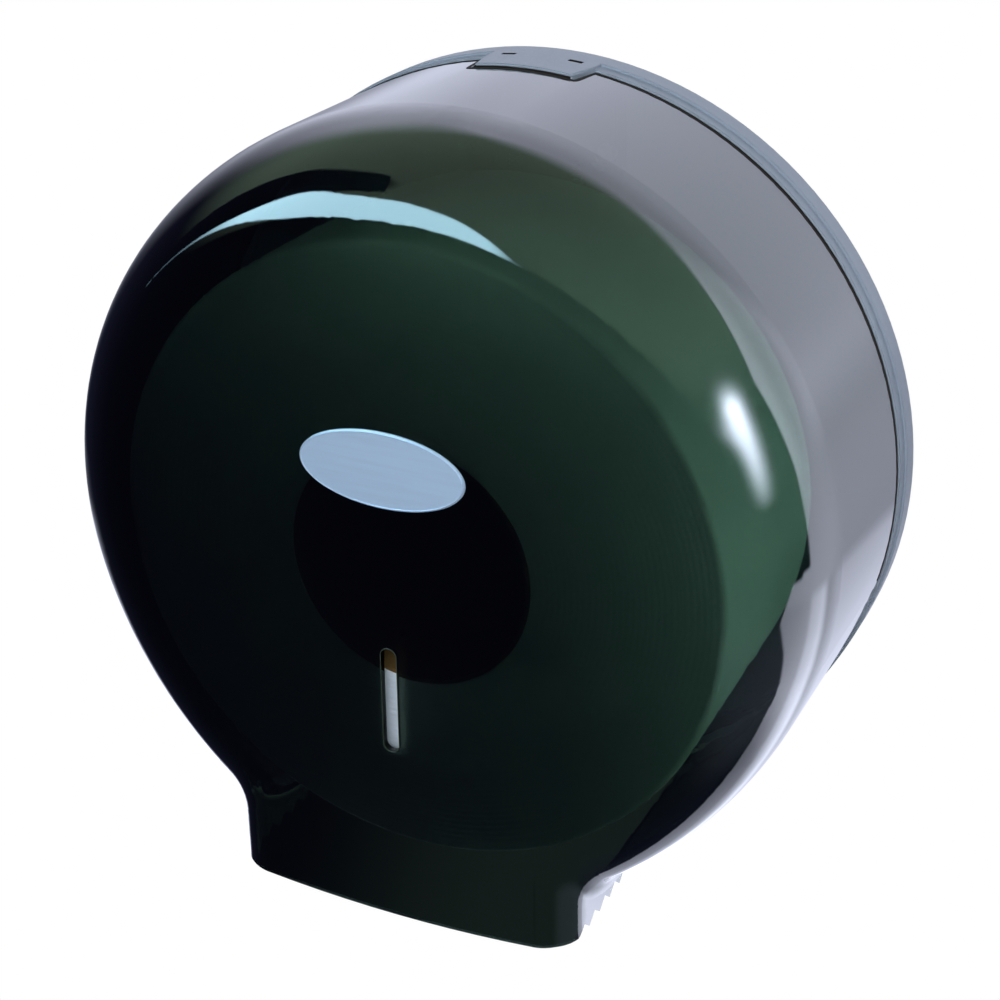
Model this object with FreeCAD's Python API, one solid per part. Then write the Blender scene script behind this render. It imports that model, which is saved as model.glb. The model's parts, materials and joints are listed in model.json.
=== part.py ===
import FreeCAD, Part
import math
import os

# A wall-mounted dispenser for one jumbo toilet roll, in millimetres.
# X runs to the right, +Y into the wall and Z up. The origin is the middle of the wall screws, on the wall.
# A depth is a distance out from the wall, along -Y. A drop is a distance below the origin.

V = FreeCAD.Vector

# Clearances and cuts shared by all pieces
overrun = 2.0
moulded_gap = 0.4
running_gap = 0.05
seat_gap = 0.3

# Paper roll and its core, which the whole case is sized around
roll_radius = 108.0
roll_width = 90.0
core_radius = 41.2
core_wall = 1.5
spindle_drop = 8.5
roll_side_gap = 14.1
roll_front_gap = 14.3

# Spindle: a fixed post and the hub that turns on it
journal_radius = 11.0
post_wall = 4.5
post_end_wall = 16.0
post_flange_wall = 4.0
post_screw_count = 3
post_screw_gap = 1.4
post_screw_land = 8.0
hub_tube_wall = 4.0
hub_wall = 2.5
hub_relief = 1.5
hub_recess = 18.3
hub_front_step = 3.7
hub_flange_lap = 8.0
hub_flange_wall = 3.6
hub_flange_step = 0.6
wing_count = 4
wing_height = 6.2
wing_wall = 5.0
wing_lead = 8.0
wing_front_step = 4.0
bush_wall = 2.95
bush_length = 12.0
drag_wall = 3.1
drag_band = 8.0
hub_washer_wall = 1.5
cap_wall = 2.0
cap_lip = 4.0
cap_skirt_wall = 1.7
cap_skirt_length = 6.0

# Screws
screw_radius = 1.6
screw_head_radius = 3.2
screw_head_wall = 2.4
screw_skin = 1.2
hub_screw_radius = 2.0
hub_screw_head_radius = 4.0
hub_screw_head_wall = 3.0
hub_screw_bite = 12.0

# Back plate: a round pan whose rim shows around the cover
plate_wall = 3.0
rim_stand = 1.2
rim_step = 0.9
rim_step_share = 0.6
wall_hole_radius = 2.6
wall_hole_across = 140.0
wall_hole_up = 110.0
wall_boss_radius = 8.0
wall_boss_height = 3.0
post_boss_height = 8.0
rib_wall = 2.0
rib_height = 3.0

# Lock hood on top of the rim, with two slots for the key
hood_lap = 11.4
hood_half_front = 17.0
hood_half_back = 19.6
key_slot_width = 5.0
key_slot_gap = 2.2
key_slot_spacing = 24.4
key_slot_set = 2.8

# Front cover: a drum with a chute below it
cover_wall = 2.5
cover_gap = 2.3
front_round_in = 33.9
front_round_back = 51.1
front_round_steps = 16
chute_half = 64.1
chute_round = 13.0
blend_round = 9.0
flank_angle = math.radians(15.0)
flank_swell = 26.9
tongue_wall = 0.9
tongue_lap = 2.1
tongue_drop = 40.0
notch_gap = 1.2
slot_width = 5.8
slot_length = 38.8
slot_drop = 50.3

# Saw teeth along the two sides of the chute, and the front lip below them
tooth_rise = 1.3
tooth_height = 3.6
tooth_pitch = 8.7
tooth_lead = 4.0
tooth_tip_share = 0.5
lip_height = 3.4
lip_sag = 4.1
lip_rise_shares = ((0.0, 0.0), (0.22, 0.42), (0.5, 0.8), (0.8, 0.98))

# Oval badge in the cover's face
badge_half_wide = 28.6
badge_half_high = 12.9
badge_height = 32.0
badge_wall = 1.4
badge_bevel = 0.4
badge_recess = 0.6
badge_gap = 0.15

# Cover hinge: a pin at each side, at the foot of the rim
hinge_set = 3.8
hinge_below_rim = 4.6
ear_gap = 0.9
lug_half = 3.8
lug_radius = 4.6
lug_foot = 4.0
pin_radius = 2.0
pin_head_radius = 3.4
pin_head_wall = 1.2

# Latch under the hood: a sprung slider in a guide, behind a keeper on the cover
latch_travel = 5.0
latch_bite = 3.6
nose_half = 8.0
nose_wall = 3.5
nose_gap = 0.7
nose_head_gap = 1.2
keeper_half = 8.6
keeper_wall = 2.8
keeper_end_gap = 0.2
keeper_root = 0.4
slider_half = 20.6
slider_wall = 4.0
slider_height = 25.0
slider_gap = 0.4
slider_tongue_gap = 2.0
pad_half = 2.8
pad_gap = 1.2
pad_window_gap = 0.5
arm_drop = 12.0
arm_wall = 4.0
guide_base_wall = 2.0
guide_rail_wall = 5.2
guide_lip = 3.5
guide_lip_wall = 2.0
guide_floor_wall = 3.0
guide_top_drop = 6.0
spring_radius = 1.75
spring_wire_radius = 0.3
spring_turns = 7
spring_pressed = 9.0
spring_peg_radius = 1.0
spring_peg_height = 1.8
spring_half_spacing = 12.0

# Sizes across the case that follow from the roll
drum_inner = roll_radius + spindle_drop + roll_side_gap
drum_radius = drum_inner + cover_wall
tongue_radius = drum_inner + tongue_wall
rim_inner = tongue_radius + moulded_gap
rim_radius = drum_radius + rim_stand
rim_wall = rim_radius - rim_inner
rim_front_radius = rim_radius - rim_step
chute_inner = chute_half - cover_wall
hinge_half = chute_inner - ear_gap - lug_half
hinge_drop = math.sqrt(rim_radius ** 2 - hinge_half ** 2) + hinge_below_rim
roll_bore = core_radius + core_wall
wing_radius = core_radius - moulded_gap
hub_drum_radius = core_radius - wing_height
hub_flange_radius = roll_bore + hub_flange_lap
bush_radius = journal_radius + running_gap + bush_wall
hub_tube_radius = bush_radius + hub_tube_wall
drag_inner = journal_radius + moulded_gap
drag_outer = drag_inner + drag_band
post_screw_circle = drag_outer + post_screw_gap + screw_head_radius
post_flange_radius = post_screw_circle + post_screw_land
keeper_bottom = drum_inner - nose_head_gap - latch_bite
nose_top = keeper_bottom + latch_bite
slider_top = keeper_bottom
slider_bottom = slider_top - slider_height
spring_length = latch_travel + spring_pressed
guide_half = slider_half + slider_gap + guide_rail_wall
guide_floor = slider_bottom - spring_length
guide_bottom = guide_floor - guide_floor_wall
guide_top = slider_top - guide_top_drop
guide_screw_x = guide_half - guide_rail_wall / 2
guide_screw_z = (guide_floor + guide_top) / 2

# Depths that follow, out from the wall
post_back = plate_wall + post_boss_height
post_face = post_back + post_flange_wall
hub_back = post_face + drag_wall + seat_gap
hub_flange_back = hub_back + hub_flange_step
hub_flange_front = hub_flange_back + hub_flange_wall
roll_back = hub_flange_front + moulded_gap
roll_front = roll_back + roll_width
hub_front = roll_front - hub_recess
hub_drum_front = hub_front - hub_front_step
post_front = hub_front + seat_gap
cover_depth = roll_front + roll_front_gap + cover_wall
slider_back = plate_wall + guide_base_wall + slider_gap
slider_front = slider_back + slider_wall
spring_depth = (slider_back + slider_front) / 2
guide_front = slider_front + slider_gap + guide_lip_wall
tongue_back = slider_front + slider_tongue_gap
rim_depth = tongue_back + tongue_lap
rim_step_depth = rim_depth * rim_step_share
cover_back = rim_depth + cover_gap
hood_depth = cover_back + hood_lap
key_slot_depth = slider_front + key_slot_set
keeper_back = tongue_back + keeper_end_gap
keeper_front = keeper_back + keeper_wall
nose_back = keeper_front + nose_gap
nose_front = nose_back + nose_wall
hinge_depth = rim_depth - hinge_set


def flank_centre():
    """The middle of the flatter arc of the right flank, in the plane of the wall."""
    return V(-flank_swell * math.cos(flank_angle), 0, flank_swell * math.sin(flank_angle))


def blend_centre(drum, side, blend):
    """The middle of the hollow blend between the right flank and the chute's side."""
    middle = flank_centre()
    across = side + blend - middle.x
    return V(side + blend, 0, middle.z - math.sqrt((drum + flank_swell + blend) ** 2 - across ** 2))


# Drops of the chute's edges
gullet_drop = -blend_centre(drum_radius, chute_half, blend_round).z - tooth_rise
tooth_drop = gullet_drop + tooth_height
lip_drop = tooth_drop + lip_height
cover_foot = lip_drop + overrun


def rod(radius, near, far, x=0.0, z=0.0):
    """A round bar square to the wall, between two depths."""
    return Part.makeCylinder(radius, far - near, V(x, -far, z), V(0, 1, 0))


def ring(outer, inner, near, far, x=0.0, z=0.0):
    """A round tube square to the wall, between two depths."""
    bore = rod(inner, near - overrun, far + overrun, x, z)
    return rod(outer, near, far, x, z).cut(bore)


def block(x_low, x_high, near, far, z_low, z_high):
    """A square block between two depths."""
    return Part.makeBox(x_high - x_low, far - near, z_high - z_low, V(x_low, -far, z_low))


def cross_rod(radius, x_low, x_high, depth, z):
    """A round bar along X."""
    return Part.makeCylinder(radius, x_high - x_low, V(x_low, -depth, z), V(1, 0, 0))


def prism(points, direction):
    """A flat outline drawn out along one direction."""
    outline = Part.makePolygon(points + points[:1])
    return Part.Face(outline).extrude(direction)


def mirrored(shape):
    """The same shape on the other side of the middle plane."""
    return shape.mirror(V(0, 0, 0), V(1, 0, 0))


def around(shape, count):
    """Copies of a shape, evenly turned about the spindle's axis."""
    copies = []
    for index in range(count):
        copy = shape.copy()
        copy.rotate(V(0, 0, -spindle_drop), V(0, 1, 0), index * 360.0 / count)
        copies.append(copy)
    return copies


def hood_plan(grow):
    """The hood's plan, grown by a margin, as a tall prism over the top of the rim."""
    half_front = hood_half_front + grow
    half_back = hood_half_back + grow
    front = hood_depth + grow
    points = [V(-half_back, overrun, 0), V(half_back, overrun, 0), V(half_back, -rim_depth - grow, 0),
              V(half_front, -front, 0), V(-half_front, -front, 0), V(-half_back, -rim_depth - grow, 0)]
    return prism(points, V(0, 0, rim_radius + overrun))


def back_plate():
    """The pan: plate, stepped rim, hood, bosses, ribs, hinge lugs and holes."""
    plate = rod(rim_radius, 0, plate_wall)
    rim_rear = ring(rim_radius, rim_inner, 0, rim_step_depth)
    rim_front = ring(rim_front_radius, rim_inner, rim_step_depth, rim_depth)
    hood = ring(rim_radius, rim_inner, 0, hood_depth).common(hood_plan(0))
    post_boss = rod(post_flange_radius, plate_wall, post_back, 0, -spindle_drop)
    parts = [rim_rear, rim_front, hood, post_boss]
    wall_places = [(x, z) for x in (-wall_hole_across / 2, wall_hole_across / 2)
                   for z in (-wall_hole_up / 2, wall_hole_up / 2)]
    for x, z in wall_places:
        parts.append(rod(wall_boss_radius, plate_wall, plate_wall + wall_boss_height, x, z))
    rib_reach = rim_inner + rim_wall / 2
    for side in (-1, 1):
        low = min(side * post_flange_radius, side * rib_reach)
        high = max(side * post_flange_radius, side * rib_reach)
        parts.append(block(low, high, plate_wall, plate_wall + rib_height,
                           -spindle_drop - rib_wall / 2, -spindle_drop + rib_wall / 2)
                     .common(rod(rib_reach, 0, rim_depth)))
    lug = cross_rod(lug_radius, hinge_half - lug_half, hinge_half + lug_half, hinge_depth, -hinge_drop)
    stem_low = hinge_depth - lug_radius
    stem = block(hinge_half - lug_half, hinge_half + lug_half, stem_low, rim_depth,
                 -hinge_drop, -hinge_drop + lug_radius + lug_foot)
    stem = stem.cut(rod(rim_inner, plate_wall, rim_depth + overrun))
    for piece in (lug, stem):
        parts += [piece, mirrored(piece)]
    body = plate.multiFuse(parts)
    cuts = []
    for x, z in wall_places:
        cuts.append(rod(wall_hole_radius, -overrun, plate_wall + wall_boss_height + overrun, x, z))
    for x in (-key_slot_spacing / 2, key_slot_spacing / 2):
        cuts.append(block(x - key_slot_width / 2, x + key_slot_width / 2,
                          key_slot_depth - key_slot_gap / 2, key_slot_depth + key_slot_gap / 2,
                          rim_inner - rim_wall, rim_radius + overrun))
    pin_hole = cross_rod(pin_radius + running_gap, hinge_half - lug_half - overrun,
                         hinge_half + lug_half + overrun, hinge_depth, -hinge_drop)
    cuts += [pin_hole, mirrored(pin_hole)]
    cuts += post_screw_holes()
    for side in (-1, 1):
        cuts.append(rod(screw_radius, screw_skin, plate_wall + overrun, side * guide_screw_x, guide_screw_z))
    return body.cut(cuts).removeSplitter()


def cover_outline(drum, side, blend, depth):
    """The cover's outline at one depth: drum, flatter flanks, hollow blends, chute sides and foot."""
    flank = flank_centre()
    hollow = blend_centre(drum, side, blend)
    swell = drum + flank_swell
    leave = V(drum * math.cos(flank_angle), 0, -drum * math.sin(flank_angle))
    touch = flank + (hollow - flank) * (swell / (swell + blend))
    flank_way = (leave - flank).normalize() + (touch - flank).normalize()
    flank_middle = flank + flank_way.normalize() * swell
    end = V(side, 0, hollow.z)
    blend_way = (touch - hollow).normalize() + (end - hollow).normalize()
    blend_middle = hollow + blend_way.normalize() * blend
    top = V(0, 0, drum)
    upper = V(drum * math.cos(flank_angle), 0, drum * math.sin(flank_angle))
    foot = V(side, 0, -cover_foot - overrun)

    def left(point):
        return V(-point.x, point.y, point.z)

    edges = [
        Part.Arc(leave, upper, top).toShape(),
        Part.Arc(top, left(upper), left(leave)).toShape(),
        Part.Arc(left(leave), left(flank_middle), left(touch)).toShape(),
        Part.Arc(left(touch), left(blend_middle), left(end)).toShape(),
        Part.makeLine(left(end), left(foot)),
        Part.makeLine(left(foot), foot),
        Part.makeLine(foot, end),
        Part.Arc(end, blend_middle, touch).toShape(),
        Part.Arc(touch, flank_middle, leave).toShape(),
    ]
    outline = Part.Wire(edges)
    outline.translate(V(0, -depth, 0))
    return outline


def round_inset(inward, backward, depth, front):
    """How far a rounded front edge, a quarter oval, has drawn in at a depth."""
    rise = max(0.0, depth - (front - backward))
    return inward * (1 - math.sqrt(max(0.0, 1 - (rise / backward) ** 2)))


def cover_mass(wall, near):
    """The cover as a full solid, taken in by a wall: a straight drum and its rounded front."""
    front = cover_depth - wall
    bend = front_round_back - wall
    straight_end = front - bend
    base = cover_outline(drum_radius - wall, chute_half - wall, blend_round + wall, near)
    straight = Part.Face(base).extrude(V(0, near - straight_end, 0))
    levels = []
    for step in range(front_round_steps + 1):
        depth = straight_end + bend * math.sin(math.pi / 2 * step / front_round_steps)
        drum_in = round_inset(front_round_in - wall, bend, depth, front)
        side_in = round_inset(chute_round - wall, chute_round - wall, depth, front)
        levels.append(cover_outline(drum_radius - wall - drum_in, chute_half - wall - side_in,
                                    blend_round + wall + (drum_in + side_in) / 2, depth))
    rounded = Part.makeLoft(levels, True, False)
    return straight.fuse(rounded)


def mouth_cut():
    """All that lies below the chute's toothed sides and its front lip."""
    low = -cover_foot - overrun * 2
    rear = tongue_back - overrun
    tooth_start = cover_back + tooth_lead
    tooth_end = cover_depth - chute_round
    count = int((tooth_end - tooth_start) / tooth_pitch)
    first = tooth_end - count * tooth_pitch
    points = [(rear, low), (rear, -gullet_drop)]
    for index in range(count):
        points.append((first + index * tooth_pitch, -gullet_drop))
        points.append((first + (index + tooth_tip_share) * tooth_pitch, -tooth_drop))
    for depth_share, drop_share in lip_rise_shares:
        points.append((tooth_end + chute_round * depth_share,
                       -gullet_drop - (lip_drop - gullet_drop) * drop_share))
    points += [(cover_depth, -lip_drop), (cover_depth + overrun, -lip_drop), (cover_depth + overrun, low)]
    width = chute_half + overrun
    outline = [V(-width, -depth, z) for depth, z in points]
    return prism(outline, V(2 * width, 0, 0))


def lip_cut():
    """All that lies below the lip's edge, an arc that rises to both sides."""
    radius = (chute_half ** 2 + lip_sag ** 2) / (2 * lip_sag)
    near = cover_depth - chute_round - overrun
    width = chute_half + overrun
    low = block(-width, width, near, cover_depth + overrun, -cover_foot - 2 * overrun, -tooth_drop)
    return low.cut(rod(radius, near - overrun, cover_depth + 2 * overrun, 0, radius - lip_drop))


def oval(half_wide, half_high, near, far, z):
    """An oval plate square to the wall."""
    centre = V(0, -near, z)
    edge = Part.Ellipse(V(half_wide, -near, z), V(0, -near, z + half_high), centre).toShape()
    return Part.Face(Part.Wire(edge)).extrude(V(0, near - far, 0))


def viewing_slot():
    """The upright slot with round ends, through the cover's face."""
    near = cover_depth - cover_wall - overrun
    far = cover_depth + overrun
    half = slot_width / 2
    half_run = slot_length / 2 - half
    upper = rod(half, near, far, 0, -slot_drop + half_run)
    lower = rod(half, near, far, 0, -slot_drop - half_run)
    run = block(-half, half, near, far, -slot_drop - half_run, -slot_drop + half_run)
    return run.multiFuse([upper, lower])


def hinge_ear():
    """The right ear: a round eye behind the chute's side wall, on a neck from it."""
    neck = block(chute_inner, chute_half, hinge_depth, cover_back + overrun,
                 -hinge_drop - lug_radius, -hinge_drop + lug_radius)
    return neck.fuse(cross_rod(lug_radius, chute_inner, chute_half, hinge_depth, -hinge_drop))


def front_cover():
    """The moulded cover with its chute, slot, recess, tongue, hood notch, keeper and hinge ears."""
    shell = cover_mass(0, cover_back).cut(cover_mass(cover_wall, cover_back - overrun))
    shell = shell.cut([mouth_cut(), lip_cut()])
    tongue = ring(tongue_radius, drum_inner, tongue_back, cover_back + overrun)
    tongue = tongue.cut(block(-rim_radius, rim_radius, 0, cover_depth, -rim_radius, -tongue_drop))
    keeper = block(-keeper_half, keeper_half, keeper_back, keeper_front,
                   keeper_bottom, drum_inner + keeper_root)
    ear = hinge_ear()
    shell = shell.multiFuse([tongue, keeper, ear, mirrored(ear)])
    notch_ring = ring(rim_radius, tongue_radius, tongue_back - overrun, hood_depth + notch_gap)
    notch = notch_ring.common(hood_plan(notch_gap))
    window_half = pad_half + pad_window_gap
    windows = [block(x - window_half, x + window_half, tongue_back - overrun, cover_back,
                     keeper_bottom, rim_radius)
               for x in (-key_slot_spacing / 2, key_slot_spacing / 2)]
    face_recess = oval(badge_half_wide + badge_gap, badge_half_high + badge_gap,
                       cover_depth - badge_recess, cover_depth + overrun, badge_height)
    pin_hole = cross_rod(pin_radius, chute_inner - overrun, chute_half + overrun, hinge_depth, -hinge_drop)
    cuts = [notch, face_recess, viewing_slot(), pin_hole, mirrored(pin_hole)] + windows
    return shell.cut(cuts).removeSplitter()


def badge_plate():
    """The oval plate, seated in the face's recess, with a bevelled front edge."""
    seat = cover_depth - badge_recess
    plate = oval(badge_half_wide, badge_half_high, seat, seat + badge_wall, badge_height)
    front = [edge for edge in plate.Edges if abs(edge.BoundBox.YMin + seat + badge_wall) < badge_gap
             and edge.BoundBox.YLength < badge_gap]
    return plate.makeChamfer(badge_bevel, front)


def hinge_pin():
    """The right hinge pin, headed on the outside."""
    shank = cross_rod(pin_radius, hinge_half - lug_half, chute_half, hinge_depth, -hinge_drop)
    head = cross_rod(pin_head_radius, chute_half, chute_half + pin_head_wall, hinge_depth, -hinge_drop)
    return shank.fuse(head).removeSplitter()


def paper_roll():
    """The wound paper as a thick ring."""
    return ring(roll_radius, roll_bore, roll_back, roll_front, 0, -spindle_drop)


def cardboard_core():
    """The tube that the paper is wound on."""
    return ring(roll_bore, core_radius, roll_back, roll_front, 0, -spindle_drop)


def post_screw_place(index):
    """The middle of one screw of the post's flange."""
    angle = math.pi / 2 + index * 2 * math.pi / post_screw_count
    return post_screw_circle * math.cos(angle), -spindle_drop + post_screw_circle * math.sin(angle)


def post_screw_holes():
    """The screw holes through the post's flange, down to a skin at the wall."""
    holes = []
    for index in range(post_screw_count):
        x, z = post_screw_place(index)
        holes.append(rod(screw_radius, screw_skin, post_face + overrun, x, z))
    return holes


def spindle_post():
    """The fixed post: a screwed flange and a hollow journal."""
    flange = rod(post_flange_radius, post_back, post_face, 0, -spindle_drop)
    journal = rod(journal_radius, post_face, post_front, 0, -spindle_drop)
    hollow = rod(journal_radius - post_wall, post_back - overrun, post_front - post_end_wall, 0, -spindle_drop)
    screw_hole = rod(hub_screw_radius, post_front - hub_screw_bite, post_front + overrun, 0, -spindle_drop)
    return flange.fuse(journal).cut([hollow, screw_hole] + post_screw_holes()).removeSplitter()


def screw(radius, head_radius, head_wall, tip, seat, x, z):
    """A pan-headed screw with its head on a seat, its cross recess left plain."""
    shank = rod(radius, tip, seat, x, z)
    head = rod(head_radius, seat, seat + head_wall, x, z)
    return shank.fuse(head).removeSplitter()


def spindle_hub():
    """The reel: bearing tube, front wall, drum, stop flange and wings for the core."""
    z = -spindle_drop
    drum_inner_radius = hub_drum_radius - hub_wall
    tube = rod(hub_tube_radius, hub_back, hub_front, 0, z)
    front_wall = rod(hub_drum_radius, hub_drum_front - hub_wall, hub_drum_front, 0, z)
    drum = ring(hub_drum_radius, drum_inner_radius, hub_flange_back, hub_drum_front, 0, z)
    flange = ring(hub_flange_radius, drum_inner_radius, hub_flange_back, hub_flange_front, 0, z)
    wing_end = hub_drum_front - wing_front_step
    wing_straight = wing_end - wing_lead
    envelope = rod(wing_radius, hub_flange_back, wing_straight, 0, z)
    taper = Part.makeCone(hub_drum_radius, wing_radius, wing_lead, V(0, -wing_end, z), V(0, 1, 0))
    wing_space = envelope.fuse(taper).cut(rod(drum_inner_radius + hub_wall / 2, 0, cover_depth, 0, z))
    wing = block(0, wing_radius + overrun, hub_flange_back, wing_end, z - wing_wall / 2, z + wing_wall / 2)
    wings = around(wing.common(wing_space), wing_count)
    body = tube.multiFuse([front_wall, drum, flange] + wings)
    seat_rear = rod(bush_radius, hub_back - overrun, hub_back + bush_length, 0, z)
    seat_front = rod(bush_radius, hub_front - bush_length, hub_front + overrun, 0, z)
    relief = rod(journal_radius + hub_relief, hub_back, hub_front, 0, z)
    return body.cut([seat_rear, seat_front, relief]).removeSplitter()


def hub_bush(near):
    """A plain bearing between the hub and the journal."""
    return ring(bush_radius, journal_radius + running_gap, near, near + bush_length, 0, -spindle_drop)


def drag_washer():
    """The felt ring between the post's flange and the hub."""
    return ring(drag_outer, drag_inner, post_face, post_face + drag_wall, 0, -spindle_drop)


def hub_washer():
    """The washer that keeps the hub on the post."""
    outer = bush_radius - moulded_gap
    return ring(outer, hub_screw_radius, post_front, post_front + hub_washer_wall, 0, -spindle_drop)


def hub_cap():
    """The snap cap: a disc with a skirt around the hub's tube."""
    z = -spindle_drop
    skirt_back = hub_front + hub_screw_head_wall + hub_washer_wall + cap_wall - cap_skirt_length
    skirt_front = skirt_back + cap_skirt_length
    skirt = ring(hub_tube_radius + cap_skirt_wall, hub_tube_radius, skirt_back, skirt_front, 0, z)
    disc = rod(hub_tube_radius + cap_lip, skirt_front, skirt_front + cap_wall, 0, z)
    return disc.fuse(skirt).removeSplitter()


def latch_slider():
    """The latch: a plate with two key pads, and an arm to a nose bevelled on both sides."""
    plate = block(-slider_half, slider_half, slider_back, slider_front, slider_bottom, slider_top)
    pad_middle = key_slot_spacing / 2
    pad_edge = pad_middle + pad_half
    pad_top = math.sqrt(rim_inner ** 2 - pad_edge ** 2) - pad_gap
    pad_front = key_slot_depth + key_slot_gap / 2
    parts = []
    for side in (-1, 1):
        parts.append(block(side * pad_middle - pad_half, side * pad_middle + pad_half,
                           slider_back, pad_front, slider_top - arm_wall, pad_top))
        parts.append(Part.makeCylinder(spring_peg_radius, spring_peg_height,
                                       V(side * spring_half_spacing, -spring_depth, slider_bottom),
                                       V(0, 0, -1)))
    arm_bottom = slider_top - arm_drop
    arm = block(-nose_half, nose_half, slider_back, nose_front, arm_bottom, arm_bottom + arm_wall)
    ridge = (nose_back + nose_front) / 2
    nose = prism([V(-nose_half, -nose_back, arm_bottom), V(-nose_half, -nose_front, arm_bottom),
                  V(-nose_half, -nose_front, keeper_bottom), V(-nose_half, -ridge, nose_top),
                  V(-nose_half, -nose_back, keeper_bottom)], V(2 * nose_half, 0, 0))
    return plate.multiFuse(parts + [arm, nose]).removeSplitter()


def lock_guide():
    """The latch's channel: base, floor with spring pegs, rails and lips that hold the slider in."""
    base = block(-guide_half, guide_half, plate_wall, plate_wall + guide_base_wall, guide_bottom, guide_top)
    floor = block(-guide_half, guide_half, plate_wall, guide_front, guide_bottom, guide_floor)
    rail_inner = guide_half - guide_rail_wall
    lip_inner = rail_inner - guide_lip
    rail = block(rail_inner, guide_half, plate_wall, guide_front, guide_bottom, guide_top)
    lip = block(lip_inner, guide_half, guide_front - guide_lip_wall, guide_front, guide_bottom, guide_top)
    parts = [floor]
    for piece in (rail, lip):
        parts += [piece, mirrored(piece)]
    for side in (-1, 1):
        parts.append(Part.makeCylinder(spring_peg_radius, spring_peg_height,
                                       V(side * spring_half_spacing, -spring_depth, guide_floor)))
    holes = [rod(screw_radius, 0, guide_front + overrun, side * guide_screw_x, guide_screw_z)
             for side in (-1, 1)]
    return base.multiFuse(parts).cut(holes).removeSplitter()


def arc_from(start, tangent, end):
    """The arc that leaves a point along a tangent and ends at another point."""
    chord = end - start
    along = V(chord).normalize()
    turn = math.acos(max(-1.0, min(1.0, tangent.dot(along))))
    side = (tangent - along * tangent.dot(along)).normalize()
    middle = start + chord / 2 + side * (chord.Length / 2 * math.tan(turn / 2))
    return Part.Arc(start, middle, end)


def biarc(start, start_tangent, end, end_tangent):
    """Two arcs that meet smoothly between two points with given tangents."""
    span = end - start
    tangents = start_tangent + end_tangent
    lean = 2 * (1 - start_tangent.dot(end_tangent))
    along = span.dot(tangents)
    reach = (-along + math.sqrt(along ** 2 + lean * span.dot(span))) / lean
    middle = (start + start_tangent * reach + end - end_tangent * reach) / 2
    first = arc_from(start, start_tangent, middle)
    second = arc_from(end, end_tangent * -1, middle)
    return [first.toShape(), second.toShape().reversed()]


def turn_gap(edges):
    """The least gap between stretches of wire that lie about one turn apart."""
    per_turn = len(edges) // spring_turns
    gaps = []
    for index, edge in enumerate(edges):
        for other in edges[index + per_turn - 2:index + per_turn + 3]:
            gaps.append(edge.distToShape(other)[0] - 2 * spring_wire_radius)
    return min(gaps)


def latch_spring():
    """The right spring under the slider: a wire wound as an even helix, in quarter turns."""
    pitch = (spring_length - 2 * spring_wire_radius) / spring_turns
    slope = pitch / (2 * math.pi)
    base_z = guide_floor + spring_wire_radius

    def point(angle):
        return V(spring_half_spacing + spring_radius * math.cos(angle),
                 -spring_depth + spring_radius * math.sin(angle), base_z + slope * angle)

    def tangent(angle):
        return V(-spring_radius * math.sin(angle), spring_radius * math.cos(angle), slope).normalize()

    edges = []
    for quarter in range(4 * spring_turns):
        begin = quarter * math.pi / 2
        end = begin + math.pi / 2
        edges += biarc(point(begin), tangent(begin), point(end), tangent(end))
    section = Part.Wire(Part.makeCircle(spring_wire_radius, point(0), tangent(0)))
    path = Part.Wire(edges)
    print("least gap between the spring's turns, mm:", round(turn_gap(edges), 3))
    return path.makePipeShell([section], True, False)


def all_pieces():
    """Every piece by its node name."""
    pieces = {
        "back_plate": back_plate(),
        "front_cover": front_cover(),
        "badge_plate": badge_plate(),
        "hinge_pin_right": hinge_pin(),
        "hinge_pin_left": mirrored(hinge_pin()),
        "paper_roll": paper_roll(),
        "cardboard_core": cardboard_core(),
        "spindle_post": spindle_post(),
        "spindle_hub": spindle_hub(),
        "hub_bush_rear": hub_bush(hub_back),
        "hub_bush_front": hub_bush(hub_front - bush_length),
        "drag_washer": drag_washer(),
        "hub_washer": hub_washer(),
        "hub_screw": screw(hub_screw_radius, hub_screw_head_radius, hub_screw_head_wall,
                           post_front - hub_screw_bite, post_front + hub_washer_wall, 0, -spindle_drop),
        "hub_cap": hub_cap(),
        "lock_guide": lock_guide(),
        "latch_slider": latch_slider(),
        "latch_spring_right": latch_spring(),
        "latch_spring_left": mirrored(latch_spring()),
    }
    for side, name in ((1, "right"), (-1, "left")):
        pieces["lock_screw_" + name] = screw(screw_radius, screw_head_radius, screw_head_wall, screw_skin,
                                             guide_front, side * guide_screw_x, guide_screw_z)
    for index in range(post_screw_count):
        x, z = post_screw_place(index)
        pieces["post_screw_%d" % (index + 1)] = screw(screw_radius, screw_head_radius, screw_head_wall,
                                                      screw_skin, post_face, x, z)
    return pieces


def main():
    os.makedirs("parts", exist_ok=True)
    for name, shape in all_pieces().items():
        box = shape.BoundBox
        print(name, "valid", shape.isValid(), "solids", len(shape.Solids), "volume", round(shape.Volume),
              "x", round(box.XMin, 1), round(box.XMax, 1), "y", round(box.YMin, 1), round(box.YMax, 1),
              "z", round(box.ZMin, 1), round(box.ZMax, 1))
        shape.exportStep("parts/%s.step" % name)


main()
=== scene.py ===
import json
import math

import bpy
import numpy as np
from bpy.props import FloatProperty, FloatVectorProperty, IntProperty, PointerProperty
from mathutils import Matrix, Vector


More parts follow.
